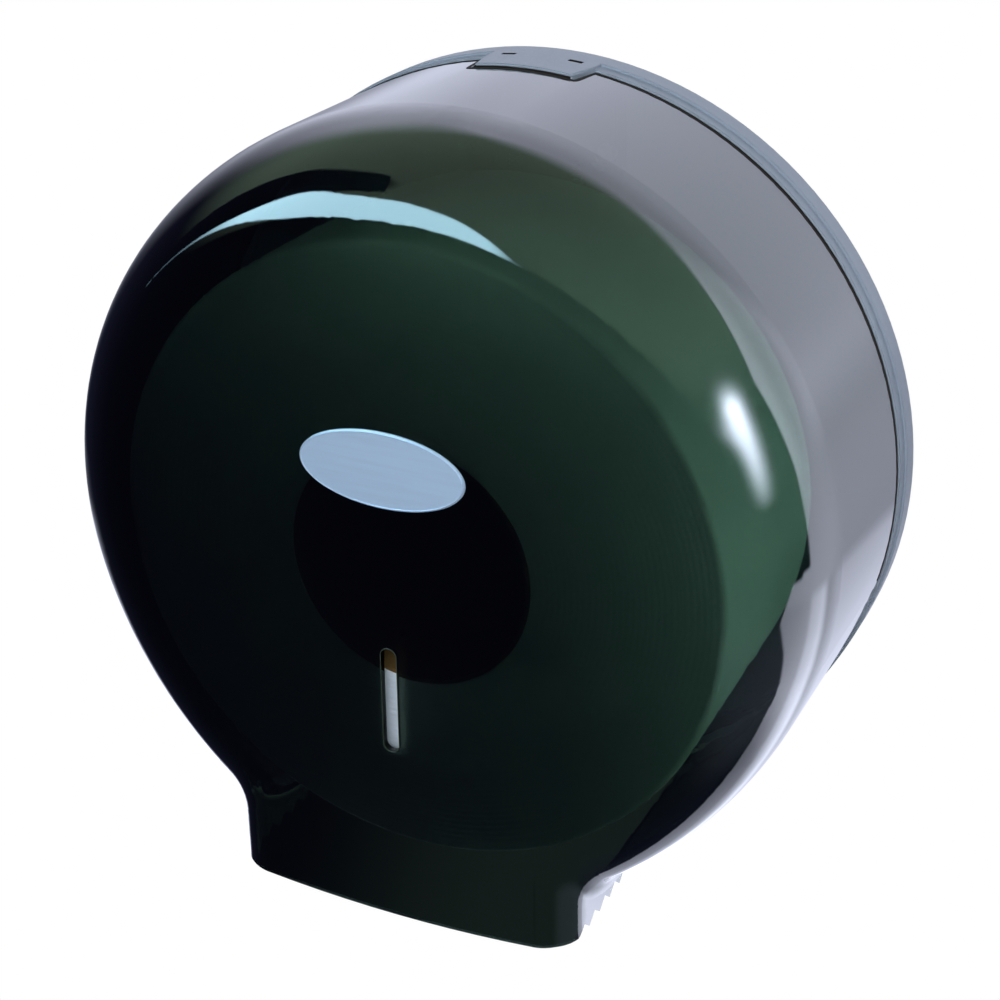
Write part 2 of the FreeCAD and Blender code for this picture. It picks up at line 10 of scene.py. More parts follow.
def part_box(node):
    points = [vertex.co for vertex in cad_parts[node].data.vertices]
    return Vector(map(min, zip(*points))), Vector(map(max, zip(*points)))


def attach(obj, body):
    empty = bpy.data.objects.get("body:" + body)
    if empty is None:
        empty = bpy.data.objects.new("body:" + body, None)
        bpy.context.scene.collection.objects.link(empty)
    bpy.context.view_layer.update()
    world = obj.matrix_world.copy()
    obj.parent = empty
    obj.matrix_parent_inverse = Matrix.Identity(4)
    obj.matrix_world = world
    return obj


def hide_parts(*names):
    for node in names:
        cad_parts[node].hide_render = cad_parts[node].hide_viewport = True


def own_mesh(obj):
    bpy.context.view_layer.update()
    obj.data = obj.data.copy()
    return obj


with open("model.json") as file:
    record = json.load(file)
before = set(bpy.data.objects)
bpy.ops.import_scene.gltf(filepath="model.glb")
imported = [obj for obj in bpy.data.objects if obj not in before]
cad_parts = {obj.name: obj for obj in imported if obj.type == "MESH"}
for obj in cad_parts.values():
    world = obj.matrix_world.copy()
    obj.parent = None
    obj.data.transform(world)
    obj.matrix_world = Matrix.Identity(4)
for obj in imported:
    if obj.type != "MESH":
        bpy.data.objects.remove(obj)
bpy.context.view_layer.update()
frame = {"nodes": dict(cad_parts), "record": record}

bl_info = {
    "name": "Jumbo roll dispenser",
    "version": (1, 0, 0),
    "blender": (4, 5, 0),
    "location": "3D View > Sidebar > Dispenser",
    "description": "Finishes, paper roll and studio for a wall dispenser with a smoked cover",
    "category": "Object",
}

ROLL_LOW, ROLL_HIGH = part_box("paper_roll")
CORE_LOW, CORE_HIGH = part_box("cardboard_core")
BADGE_LOW, BADGE_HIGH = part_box("badge_plate")
MM = 0.001
RIM_DEPTH, RIM_RADIUS, RIM_FRONT_RADIUS = 13.5 * MM, 134.3 * MM, 133.4 * MM
COVER_REAR, COVER_FRONT, COVER_RADIUS = 15.8 * MM, 129.8 * MM, 133.1 * MM
HOOD_DEPTH, NOTCH_DEPTH = 27.2 * MM, 28.4 * MM
HOOD_HALF_FRONT, HOOD_HALF_BACK, NOTCH_GAP = 17.0 * MM, 19.6 * MM, 1.2 * MM
KEY_SLOT_X, KEY_SLOT_DEPTH, KEY_SLOT_HALF = 12.2 * MM, 12.2 * MM, 2.55 * MM
SLOT_HALF, SLOT_RUN, SLOT_Z = 2.9 * MM, 16.5 * MM, -50.3 * MM
FLANK_SHIFT, FLANK_ANGLE = 26.9 * MM, math.radians(15.0)
SENSOR_WIDTH = 36.0
WHITE = (1.0, 1.0, 1.0, 1.0)


def colour(name, description, default):
    """A colour that a user may change, as linear red, green and blue."""
    return FloatVectorProperty(name=name, description=description, default=default,
                               subtype="COLOR", size=3, min=0.0, max=1.0)


def length(name, description, default):
    """A length that a user may change, in metres."""
    return FloatProperty(name=name, description=description, default=default, unit="LENGTH", precision=5)


def angle(name, description, default):
    """An angle that a user may change, given here in degrees."""
    return FloatProperty(name=name, description=description, default=math.radians(default), subtype="ANGLE")


def share(name, description, default):
    """A plain number with no unit."""
    return FloatProperty(name=name, description=description, default=default)


class FinishSettings(bpy.types.PropertyGroup):
    """Colours of the dispenser's materials"""
    rim: colour("Rim", "Moulded blue-grey plastic of the back plate", (0.245, 0.295, 0.37))
    # Painted shade: one dark colour for the gap between rim and cover, the hood's front and the key slots.
    painted_shade: colour("Painted_shade", "Brown-black seal between rim and cover", (0.012, 0.009, 0.007))
    smoke: colour("Smoke", "What one wall of the green-black cover lets through", (0.117, 0.172, 0.132))
    smoke_gloss: share("Cover polish", "Roughness of the polished cover", 0.02)
    badge: colour("Badge", "Satin blue-silver plate", (0.43, 0.59, 0.80))
    tissue: colour("Tissue", "Soft white paper", (0.68, 0.78, 0.92))
    card: colour("Card", "Brown board of the core", (0.13, 0.08, 0.03))
    black: colour("Black plastic", "Hub, post and latch", (0.018, 0.018, 0.02))
    nylon: colour("Nylon", "Bushes of the hub", (0.72, 0.70, 0.64))
    felt: colour("Felt", "Drag washer", (0.16, 0.16, 0.165))
    zinc: colour("Zinc", "Plated screws, pins and springs", (0.58, 0.59, 0.61))


class RollSettings(bpy.types.PropertyGroup):
    """Sizes of the wound paper roll"""
    rim_round: length("Edge round", "Soft rounding of the roll's edges", 2.2 * MM)
    layer_pitch: length("Layer pitch", "Step from one visible winding to the next", 2.1 * MM)
    layer_height: length("Layer relief", "How far the windings stand out of the roll's sides", 0.22 * MM)
    tail_step: length("Tail step", "Thickness of the last sheet's edge on the outside", 0.35 * MM)
    skin: length("Skin", "How far the paper stays inside its solid", 0.15 * MM)
    around: IntProperty(name="Steps around", description="Grid steps round the roll", default=240)
    across: IntProperty(name="Steps across", description="Grid steps over one side of the roll", default=96)


class StudioSettings(bpy.types.PropertyGroup):
    """Camera, floor and lamps"""
    azimuth: angle("Azimuth", "Camera's turn to the right of the front", 22.73)
    elevation: angle("Elevation", "Camera's height above the horizon", 25.97)
    roll: angle("Roll", "Camera's turn about its own line of sight", 0.92)
    distance: length("Distance", "Camera's distance from its aim", 0.66685)
    aim: FloatVectorProperty(name="Aim", description="Point on the camera's axis", subtype="XYZ",
                             unit="LENGTH", default=(0.04473, -0.063, -0.0019))
    lens: share("Lens", "Focal length in millimetres on a 36 mm sensor", 72.07)
    shift_x: share("Shift X", "Sideways shift of the picture", -0.10)
    shift_y: share("Shift Y", "Upward shift of the picture", 0.01)
    floor_drop: length("Floor drop", "How far the floor lies below the dispenser's middle", 1.25)
    floor: colour("Floor", "Pale floor", (0.6, 0.6, 0.6))
    ambient: share("Ambient", "Level of the soft light from all round", 0.42)


def new_material(name):
    """An empty node material and its Principled shader."""
    material = bpy.data.materials.new(name)
    material.use_nodes = True
    return material, material.node_tree, material.node_tree.nodes["Principled BSDF"]


def fill(node, **values):
    """Sets a node's inputs by name."""
    for key, value in values.items():
        node.inputs[key.replace("_", " ")].default_value = value


def add(tree, kind, **values):
    """A node of that kind, with its inputs set by name."""
    node = tree.nodes.new(kind)
    fill(node, **values)
    return node


def place(tree):
    """Object coordinates, which stay with the piece."""
    return tree.nodes.new("ShaderNodeTexCoord").outputs["Object"]


def noise(tree, scale, detail=3.0, stretch=(1.0, 1.0, 1.0)):
    """Noise in metres on Object coordinates, stretched along the axes."""
    mapping = add(tree, "ShaderNodeMapping", Scale=stretch)
    texture = add(tree, "ShaderNodeTexNoise", Scale=scale, Detail=detail)
    tree.links.new(place(tree), mapping.inputs["Vector"])
    tree.links.new(mapping.outputs["Vector"], texture.inputs["Vector"])
    return texture.outputs["Fac"]


def roughen(tree, shader, value, low, high):
    """Roughness that goes from low to high with a value."""
    node = add(tree, "ShaderNodeMapRange", From_Min=0.25, From_Max=0.75, To_Min=low, To_Max=high)
    tree.links.new(value, node.inputs["Value"])
    tree.links.new(node.outputs["Result"], shader.inputs["Roughness"])


def blend(tree, value, first, second):
    """Two colours mixed by a value."""
    node = tree.nodes.new("ShaderNodeMix")
    node.data_type = "RGBA"
    start, end = [socket for socket in node.inputs if socket.type == "RGBA"]
    start.default_value = (*first, 1.0)
    end.default_value = (*second, 1.0)
    tree.links.new(value, node.inputs["Factor"])
    return [socket for socket in node.outputs if socket.type == "RGBA"][0]


def bump(tree, shader, height, distance, strength=1.0):
    """Relief of that depth in metres on a shader."""
    node = add(tree, "ShaderNodeBump", Strength=strength, Distance=distance)
    tree.links.new(height, node.inputs["Height"])
    tree.links.new(node.outputs["Normal"], shader.inputs["Normal"])


def shade(base, factor):
    """A colour made darker or lighter."""
    return tuple(min(1.0, c * factor) for c in base)


def mottle(tree, shader, value, base, low, high):
    """Base colour that goes from a darker to a lighter shade with a value."""
    tree.links.new(blend(tree, value, shade(base, low), shade(base, high)), shader.inputs["Base Color"])


def dress(material, *nodes):
    """Gives CAD nodes a material."""
    for name in nodes:
        data = frame["nodes"][name].data
        data.materials.clear()
        data.materials.append(material)


def new_piece(name, points, faces, material, smooth=False):
    """An object whose mesh has those points and faces."""
    mesh = bpy.data.meshes.new(name)
    mesh.from_pydata(points.reshape(-1, 3), [], faces)
    mesh.polygons.foreach_set("use_smooth", np.full(len(faces), smooth))
    mesh.materials.append(material)
    mesh.update()
    piece = bpy.data.objects.new(name, mesh)
    bpy.context.scene.collection.objects.link(piece)
    return piece


def grid_piece(name, points, material, body):
    """Surface through a grid of points that closes in both directions: each cell of the grid is a face."""
    rows, columns = points.shape[:2]
    cell = np.arange(rows * columns).reshape(rows, columns)
    right, below = np.roll(cell, -1, 1), np.roll(cell, -1, 0)
    corner = np.roll(below, -1, 1)
    faces = np.stack([cell, right, corner, below], -1).reshape(-1, 4)
    piece = new_piece(name, points, faces, material, smooth=True)
    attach(piece, body)
    return piece


def tube_piece(name, points, material, body):
    """Closed section carried along an open path: a grid of points that closes across, with a face at each
    end."""
    rows, columns = points.shape[:2]
    cell = np.arange(rows * columns).reshape(rows, columns)
    right = np.roll(cell, -1, 1)
    faces = np.stack([cell[:-1], right[:-1], right[1:], cell[1:]], -1).reshape(-1, 4).tolist()
    faces += [cell[0, ::-1].tolist(), cell[-1].tolist()]
    piece = new_piece(name, points, faces, material)
    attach(piece, body)
    return piece


class DISPENSER_OT_back_plate(bpy.types.Operator):
    """Moulded plastic of the back plate and its rim"""
    bl_idname = "dispenser.back_plate"
    bl_label = "Back plate"

    def execute(self, context):
        base = tuple(context.scene.dispenser_finish.rim)
        material, tree, shader = new_material("rim_plastic")
        mottle(tree, shader, noise(tree, 60.0), base, 0.94, 1.06)
        roughen(tree, shader, noise(tree, 900.0), 0.27, 0.37)
        bump(tree, shader, noise(tree, 2600.0, 2.0), 0.03 * MM)
        soften(tree, shader, 0.9 * MM)
        dress(material, "back_plate")
        # Paints shade in dark on the flat fronts of the rim and hood and on the key slots' walls.
        paint_faces("back_plate", painted_shade_material(context.scene.dispenser_finish), painted_shade_faces)
        grid_piece("rim_bead", rim_bead(), material, "base")
        for name, side in (("rim_skirt_right", 1.0), ("rim_skirt_left", -1.0)):
            tube_piece(name, rim_skirt(side), material, "base")
        return {"FINISHED"}


def edge_steps(reach):
    """Distances round the case from its top, left to right, with close steps at both ends of the hood."""
    near, far = 15.0, 22.5
    half = np.concatenate([np.linspace(0.0, near, 12)[1:] * MM, np.linspace(near, far, 70)[1:] * MM,
                           np.linspace(far * MM, reach, 150)[1:]])
    return np.concatenate([-half[::-1], [0.0], half])


def hood_share(run, margin):
    """One in front of the hood and zero beside it, by a smooth step of the distance from its middle."""
    return 1.0 - ramp(np.abs(run), HOOD_HALF_FRONT + margin, HOOD_HALF_BACK + margin)


def along_edge(run, depth, across, out, radius):
    """Section of offsets across and out, carried along an edge of the round case. Run is the distance round
    the case from its top and depth the edge's distance from the wall. Offsets across lie square to the
    edge."""
    slope_run, slope_depth = np.gradient(run), np.gradient(depth)
    size = np.hypot(slope_run, slope_depth)
    turn = (run[:, None] - (slope_depth / size)[:, None] * across) / radius
    reach = radius + out + 0 * turn
    y = -(depth[:, None] + (slope_run / size)[:, None] * across)
    return np.stack([reach * np.sin(turn), y, reach * np.cos(turn)], -1)


def rim_bead():
    """Round bead on the front edge of the rim and the hood: a circle of 0.5 mm carried round the edge."""
    bead, sunk, behind = 0.5 * MM, 0.45 * MM, 0.3 * MM
    run = edge_steps(math.pi * RIM_FRONT_RADIUS)[1:]
    hood = hood_share(run, 0.0)
    around = np.linspace(0.0, -2 * math.pi, 12, endpoint=False)[None, :]
    lift = (hood * (RIM_RADIUS - RIM_FRONT_RADIUS))[:, None] - sunk
    depth = RIM_DEPTH + hood * (HOOD_DEPTH - RIM_DEPTH)
    across, out = bead * np.cos(around) - behind, lift + bead * np.sin(around)
    return along_edge(run, depth, across, out, RIM_FRONT_RADIUS)


def rim_skirt(side):
    """Low wall that carries the rim down beside one flank: a box section with cut corners, whose outer
    radius is that of the flank's flatter arc and a little more, carried along an arc and faded at its lower
    end."""
    proud, wider, faded, inner_radius = 1.1 * MM, 0.7 * MM, 6.5 * MM, 132.5 * MM
    turn = np.radians(np.linspace(-20.0, -63.0, 70))[:, None]
    down = -np.degrees(turn)
    toward = -FLANK_SHIFT * np.cos(turn + FLANK_ANGLE)
    flank = toward + np.sqrt(toward ** 2 + (COVER_RADIUS + FLANK_SHIFT) ** 2 - FLANK_SHIFT ** 2)
    outer = flank + proud + wider * ramp(down, 30.0, 48.0) - faded * ramp(down, 55.0, 63.0)
    depth = np.array([0.4, 0.4, 1.2, 11.6, 12.4, 12.4]) * MM
    inset = np.array([0.0, -0.8, 0.0, 0.0, -0.8, 0.0]) * MM
    inner = np.array([1.0, 0.0, 0.0, 0.0, 0.0, 1.0])
    radius = inner * inner_radius + (1.0 - inner) * (outer + inset)
    points = np.stack([side * radius * np.cos(turn), -depth + 0 * turn, radius * np.sin(turn)], -1)
    return points if side > 0 else points[::-1]


def soften(tree, shader, radius):
    """Rounds the look of sharp edges under the relief that a shader already has."""
    rounded = add(tree, "ShaderNodeBevel", Radius=radius)
    relief = shader.inputs["Normal"].links[0].from_node
    tree.links.new(rounded.outputs["Normal"], relief.inputs["Normal"])


def painted_shade_material(finish):
    """Matt brown-black colour, painted shade for the gap between rim and cover, the hood's front and the key
    slots.
    """
    if "painted_shade" in bpy.data.materials:
        return bpy.data.materials["painted_shade"]
    base = tuple(finish.painted_shade)
    material, tree, shader = new_material("painted_shade")
    mottle(tree, shader, noise(tree, 300.0), base, 0.8, 1.3)
    fill(shader, Roughness=0.7, Specular_IOR_Level=0.2)
    bump(tree, shader, noise(tree, 1800.0, 2.0), 0.03 * MM)
    return material


def paint_faces(node, material, chosen):
    """Gives the faces of a CAD node that a rule of their centres chooses a second material."""
    data = frame["nodes"][node].data
    centres = np.empty(3 * len(data.polygons), np.float32)
    data.polygons.foreach_get("center", centres)
    data.materials.append(material)
    index = np.where(chosen(centres.reshape(-1, 3)), len(data.materials) - 1, 0)
    data.polygons.foreach_set("material_index", index.astype(np.int32))


def painted_shade_faces(centre):
    """Faces that get painted shade: the flat fronts of the rim and the hood, near their depths, and the
    walls of the two key slots.
    """
    x, depth, z = centre[:, 0], -centre[:, 1], centre[:, 2]
    near = 0.05 * MM
    rim = (np.abs(depth - RIM_DEPTH) < near) & (np.hypot(x, z) < RIM_FRONT_RADIUS)
    hood = np.abs(depth - HOOD_DEPTH) < near
    key_x = np.abs(np.abs(x) - KEY_SLOT_X) < KEY_SLOT_HALF
    key_depth = np.abs(depth - KEY_SLOT_DEPTH) < KEY_SLOT_HALF / 2
    return rim | hood | (key_x & key_depth & (z > RIM_RADIUS / 2))


class DISPENSER_OT_front_cover(bpy.types.Operator):
    """Smoked clear plastic of the drum cover"""
    bl_idname = "dispenser.front_cover"
    bl_label = "Front cover"

    def execute(self, context):
        finish = context.scene.dispenser_finish
        material, tree, shader = new_material("smoke_cover")
        fill(shader, Base_Color=(*finish.smoke, 1.0), Transmission_Weight=1.0, IOR=1.5,
             Roughness=finish.smoke_gloss, Coat_Weight=1.0, Coat_Roughness=finish.smoke_gloss)
        bump(tree, shader, noise(tree, 45.0, 2.0), 0.02 * MM, 0.3)
        dress(material, "front_cover")
        # A dark band of painted shade along the cover's rear edge and round its notch.
        tube_piece("painted_shade_band", painted_shade_band(), painted_shade_material(finish), "cover")
        grid_piece("slot_edge", slot_edge(), cut_edge_material(finish), "cover")
        return {"FINISHED"}


def painted_shade_band():
    """Flat band of painted shade along the drum's rear edge and round its notch, where the gap to the rim
    lies in shade: a box section with cut corners, carried along the edge and a little wider at the notch."""
    half_turn, notch_extra = math.radians(104.0), 0.6
    run = edge_steps(COVER_RADIUS * half_turn)
    notch = hood_share(run, NOTCH_GAP)
    across = np.array([0.02, 0.3, 0.8, 1.1, 1.1, 0.02]) * MM
    out = np.array([0.0, 0.2, 0.2, 0.05, -0.4, -0.4]) * MM
    depth = COVER_REAR + notch * (NOTCH_DEPTH - COVER_REAR)
    return along_edge(run, depth, across * (1.0 + notch_extra * notch[:, None]), out, COVER_RADIUS)


def cut_edge_material(finish):
    """Dark rough plastic of the slot's cut edge."""
    base = shade(tuple(finish.smoke), 0.3)
    material, tree, shader = new_material("cut_edge")
    mottle(tree, shader, noise(tree, 900.0), base, 0.7, 1.3)
    fill(shader, Roughness=0.35)
    return material


def slot_edge():
    """Thin bead round the viewing slot: a circle of 0.12 mm carried round an outline with round ends, whose
    points are those of a circle drawn apart by the slot's straight run."""
    bead, steps = 0.12 * MM, 48
    turn = np.linspace(0.0, 2 * math.pi, steps, endpoint=False)[:, None] + math.pi / steps
    around = np.linspace(0.0, 2 * math.pi, 8, endpoint=False)[None, :]
    reach = SLOT_HALF + bead * np.cos(around)
    z = SLOT_Z + np.sign(np.sin(turn)) * SLOT_RUN + reach * np.sin(turn)
    return np.stack([reach * np.cos(turn), -COVER_FRONT + bead * np.sin(around) + 0 * turn, z], -1)


class DISPENSER_OT_badge(bpy.types.Operator):
    """Bare oval badge plate"""
    bl_idname = "dispenser.badge"
    bl_label = "Badge"

    def execute(self, context):
        base = tuple(context.scene.dispenser_finish.badge)
        material, tree, shader = new_material("badge_silver")
        brushed = noise(tree, 700.0, 4.0, (0.05, 1.0, 1.0))
        mottle(tree, shader, brushed, base, 0.93, 1.07)
        roughen(tree, shader, brushed, 0.36, 0.46)
        fill(shader, Metallic=0.35)
        bump(tree, shader, brushed, 0.01 * MM)
        dress(material, "badge_plate")
        grid_piece("badge_bead", badge_bead(), material, "cover")
        return {"FINISHED"}


def badge_bead():
    """Thin raised line round the badge: a circle of 0.3 mm carried round an ellipse just inside the plate's
    edge."""
    bead, inside, sunk = 0.3 * MM, 0.6 * MM, 0.1 * MM
    middle, half = (BADGE_LOW + BADGE_HIGH) / 2, (BADGE_HIGH - BADGE_LOW) / 2
    round_bead = np.linspace(0.0, 2 * math.pi, 10, endpoint=False)[None, :]
    turn = np.linspace(0.0, 2 * math.pi, 160, endpoint=False)[:, None]
    reach = bead * np.cos(round_bead) - inside
    x = middle.x + (half.x + reach) * np.cos(turn)
    z = middle.z + (half.z + reach) * np.sin(turn)
    y = BADGE_LOW.y + bead * np.sin(round_bead) + sunk + 0 * turn
    return np.stack([x, y, z], -1)


class DISPENSER_OT_paper_roll(bpy.types.Operator):
    """Wound paper roll in place of its plain solid"""
    bl_idname = "dispenser.paper_roll"
    bl_label = "Paper roll"

    def execute(self, context):
        roll = context.scene.dispenser_roll
        base = tuple(context.scene.dispenser_finish.tissue)
        material, tree, shader = new_material("tissue")
        mottle(tree, shader, noise(tree, 120.0), base, 0.93, 1.04)
        fill(shader, Roughness=0.92, Sheen_Weight=0.15)
        bump(tree, shader, noise(tree, 1500.0, 4.0), 0.08 * MM)
        piece = grid_piece("wound_paper", wound_roll(roll), material, "reel")
        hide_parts("paper_roll")
        return {"FINISHED"}


def wound_roll(roll):
    """Points of the wound roll. Its section is a loop of the two sides, the outside and the bore, with round
    edges, and is carried round the axis. On the sides the depth goes as a sine of radius less turn, so that
    the windings run as one spiral, and the outside steps in by one sheet over a full turn."""
    centre = (ROLL_LOW + ROLL_HIGH) / 2
    outer = (ROLL_HIGH.x - ROLL_LOW.x) / 2 - roll.skin
    inner = (CORE_HIGH.x - CORE_LOW.x) / 2 + roll.skin
    half = (ROLL_HIGH.y - ROLL_LOW.y) / 2 - roll.skin
    rounding = roll.rim_round
    quarter = np.linspace(0.0, math.pi / 2, 7)[1:-1]
    radii = np.linspace(inner, outer - rounding, roll.across)
    arc_out, arc_in = outer - rounding + rounding * np.sin(quarter), rounding * (1 - np.cos(quarter))
    width = np.linspace(rounding - half, half - rounding, 18)
    bore = np.linspace(half, -half, 12)[1:-1]
    r = np.concatenate([radii, arc_out, np.full(width.size, outer), arc_out[::-1], radii[::-1],
                        np.full(bore.size, inner)])
    y = np.concatenate([np.full(radii.size, -half), arc_in - half, width, half - arc_in[::-1],
                        np.full(radii.size, half), bore])
    side = np.concatenate([np.full(radii.size, 1.0), np.zeros(2 * quarter.size + width.size),
                           np.full(radii.size, -1.0), np.zeros(bore.size)])
    turn = np.linspace(0.0, 2 * math.pi, roll.around, endpoint=False)[:, None]
    winding = np.sin(2 * math.pi * r / roll.layer_pitch - turn)
    depth = y + side * roll.layer_height * (1 - winding) / 2
    radius = r - roll.tail_step * turn / (2 * math.pi) * (r > outer - rounding)
    x, z = centre.x + radius * np.cos(turn), centre.z + radius * np.sin(turn)
    return np.stack([x, centre.y + depth, z], -1)


class DISPENSER_OT_core(bpy.types.Operator):
    """Brown card core"""
    bl_idname = "dispenser.core"
    bl_label = "Card core"

    def execute(self, context):
        base = tuple(context.scene.dispenser_finish.card)
        material, tree, shader = new_material("core_card")
        fibre = noise(tree, 260.0, 5.0, (1.0, 0.25, 1.0))
        mottle(tree, shader, fibre, base, 0.8, 1.15)
        fill(shader, Roughness=0.9)
        bump(tree, shader, fibre, 0.05 * MM)
        dress(material, "cardboard_core")
        return {"FINISHED"}


class DISPENSER_OT_black_parts(bpy.types.Operator):
    """Black moulded parts: post, hub, cap, guide and latch"""
    bl_idname = "dispenser.black_parts"
    bl_label = "Black parts"

    def execute(self, context):
        base = tuple(context.scene.dispenser_finish.black)
        material, tree, shader = new_material("black_plastic")
        mottle(tree, shader, noise(tree, 90.0), base, 0.85, 1.2)
        roughen(tree, shader, noise(tree, 700.0), 0.42, 0.56)
        bump(tree, shader, noise(tree, 2200.0, 2.0), 0.03 * MM)
        dress(material, "spindle_post", "spindle_hub", "hub_cap", "lock_guide", "latch_slider")
        return {"FINISHED"}


class DISPENSER_OT_bearings(bpy.types.Operator):
    """Nylon bushes and felt washer of the hub"""
    bl_idname = "dispenser.bearings"
    bl_label = "Bushes and felt"

    def execute(self, context):
        finish = context.scene.dispenser_finish
        base = tuple(finish.nylon)
        material, tree, shader = new_material("bush_nylon")
        mottle(tree, shader, noise(tree, 150.0), base, 0.95, 1.04)
        fill(shader, Roughness=0.45)
        dress(material, "hub_bush_rear", "hub_bush_front")
        base = tuple(finish.felt)
        material, tree, shader = new_material("felt")
        fibre = noise(tree, 1800.0, 6.0)
        mottle(tree, shader, fibre, base, 0.6, 1.4)
        fill(shader, Roughness=0.95)
        bump(tree, shader, fibre, 0.2 * MM)
        dress(material, "drag_washer")
        return {"FINISHED"}


class DISPENSER_OT_metal_parts(bpy.types.Operator):
    """Zinc plated pins, screws, washer and springs"""
    bl_idname = "dispenser.metal_parts"
    bl_label = "Metal parts"

    def execute(self, context):
        base = tuple(context.scene.dispenser_finish.zinc)
        material, tree, shader = new_material("zinc_steel")
        plating = noise(tree, 800.0, 4.0)
        mottle(tree, shader, plating, base, 0.85, 1.1)
        roughen(tree, shader, plating, 0.24, 0.36)
        fill(shader, Metallic=1.0)
        dress(material, *[row["node"] for row in frame["record"]["subparts"]
                          if row["material_slot"] == "zinc_steel"])
        for side in ("left", "right"):
            short_spring("coil_" + side, "latch_spring_" + side)
        return {"FINISHED"}


def short_spring(name, node):
    """A copy of a latch spring, carried by the base in place of its CAD node, which is hidden."""
    piece = bpy.data.objects.new(name, frame["nodes"][node].data.copy())
    bpy.context.scene.collection.objects.link(piece)
    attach(piece, "base")
    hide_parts(node)
    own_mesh(piece)
    return piece


class DISPENSER_OT_stage(bpy.types.Operator):
    """Camera, pale floor, dark surround and soft lamps"""
    bl_idname = "dispenser.stage"
    bl_label = "Studio"

    def execute(self, context):
        studio = context.scene.dispenser_studio
        set_camera(context.scene, studio)
        set_world(context.scene, studio)
        set_floor(studio)
        set_surround(studio)
        set_lamps()
        context.scene.view_settings.view_transform = "Standard"
        return {"FINISHED"}


def set_camera(scene, studio):
    """Camera on a ball round its aim, turned about its own axis."""
    a, e, r = studio.azimuth, studio.elevation, studio.roll
    back = Vector((math.sin(a) * math.cos(e), -math.cos(a) * math.cos(e), math.sin(e)))
    right = Vector((math.cos(a), math.sin(a), 0.0))
    up = back.cross(right)
    right, up = right * math.cos(r) + up * math.sin(r), up * math.cos(r) - right * math.sin(r)
    camera = bpy.data.objects.new("camera", bpy.data.cameras.new("camera"))
    turn = Matrix((right, up, back)).transposed().to_4x4()
    camera.matrix_world = Matrix.Translation(Vector(studio.aim) + back * studio.distance) @ turn
    camera.data.lens, camera.data.sensor_width = studio.lens, SENSOR_WIDTH
    camera.data.shift_x, camera.data.shift_y = studio.shift_x, studio.shift_y
    camera.data.clip_start, camera.data.clip_end = 0.01, 100.0
    scene.collection.objects.link(camera)
    scene.camera = camera


def combine(tree, operation, first, second):
    """Two values brought together by a maths node."""
    node = tree.nodes.new("ShaderNodeMath")
    node.operation = operation
    tree.links.new(first, node.inputs[0])
    tree.links.new(second, node.inputs[1])
    return node.outputs[0]


def seen_directly(tree):
    """One for camera, glossy and transmission rays, else zero."""
    path = tree.nodes.new("ShaderNodeLightPath")
    total = path.outputs["Is Camera Ray"]
    for name in ("Is Glossy Ray", "Is Transmission Ray"):
        total = combine(tree, "MAXIMUM", total, path.outputs[name])
    return total


def white_where_seen(tree, shader, white, output):
    """White to the rays that see a surface directly, and its own shader to all others."""
    mix = tree.nodes.new("ShaderNodeMixShader")
    tree.links.new(seen_directly(tree), mix.inputs["Fac"])
    tree.links.new(shader.outputs[0], mix.inputs[1])
    tree.links.new(white.outputs[0], mix.inputs[2])
    tree.links.new(mix.outputs[0], tree.nodes[output].inputs["Surface"])


def set_world(scene, studio):
    """White where it is seen, and soft grey light where it falls on the object."""
    world = bpy.data.worlds.new("studio")
    world.use_nodes = True
    tree = world.node_tree
    soft = tree.nodes["Background"]
    fill(soft, Color=(0.92, 0.96, 1.0, 1.0), Strength=studio.ambient)
    white = add(tree, "ShaderNodeBackground", Color=WHITE, Strength=1.0)
    white_where_seen(tree, soft, white, "World Output")
    scene.world = world


def set_floor(studio):
    """Flat square floor, white where it is seen directly."""
    material, tree, shader = new_material("floor")
    fill(shader, Base_Color=(*studio.floor, 1.0), Roughness=0.9)
    white = add(tree, "ShaderNodeEmission", Color=WHITE, Strength=1.0)
    white_where_seen(tree, shader, white, "Material Output")
    half, steps = 12.0, 9
    reach = np.linspace(-half, half, steps)
    x, y = np.meshgrid(reach, reach)
    points = np.stack([x, y, np.full_like(x, -studio.floor_drop)], -1)
    open_grid("floor", points, material)


def open_grid(name, points, material):
    """Surface through a grid of points that is open at its edges."""
    rows, columns = points.shape[:2]
    cell = np.arange(rows * columns).reshape(rows, columns)
    faces = np.stack([cell[:-1, :-1], cell[:-1, 1:], cell[1:, 1:], cell[1:, :-1]], -1).reshape(-1, 4)
    return new_piece(name, points, faces, material)


def ramp(value, low, high):
    """Smooth step from 0 at low to 1 at high."""
    t = np.clip((value - low) / (high - low), 0.0, 1.0)
    return t * t * (3 - 2 * t)


def screen_share(x, y, z):
    """One where the pale screen behind lies, else zero. Its edge runs through points of height and reach to
    the back, and lies a little farther back on the left."""
    left = -x
    outline = ((-0.82, 0.30), (-0.67, 0.33), (-0.59, 0.26), (-0.48, 0.13), (-0.37, 0.27), (-0.35, 0.50),
               (0.0, 0.49), (0.2, 0.45), (0.35, 0.41), (0.6, 0.53), (0.75, 0.64))
    height, back = zip(*outline)
    edge = np.interp(z, height, back) + 0.08 * ramp(left, 0.2, 0.5)
    soft = 0.012 + 0.06 * ramp(z, 0.55, 0.75) + 0.14 * ramp(left, 0.25, 0.5)
    return ramp(y, edge - soft, edge + soft)


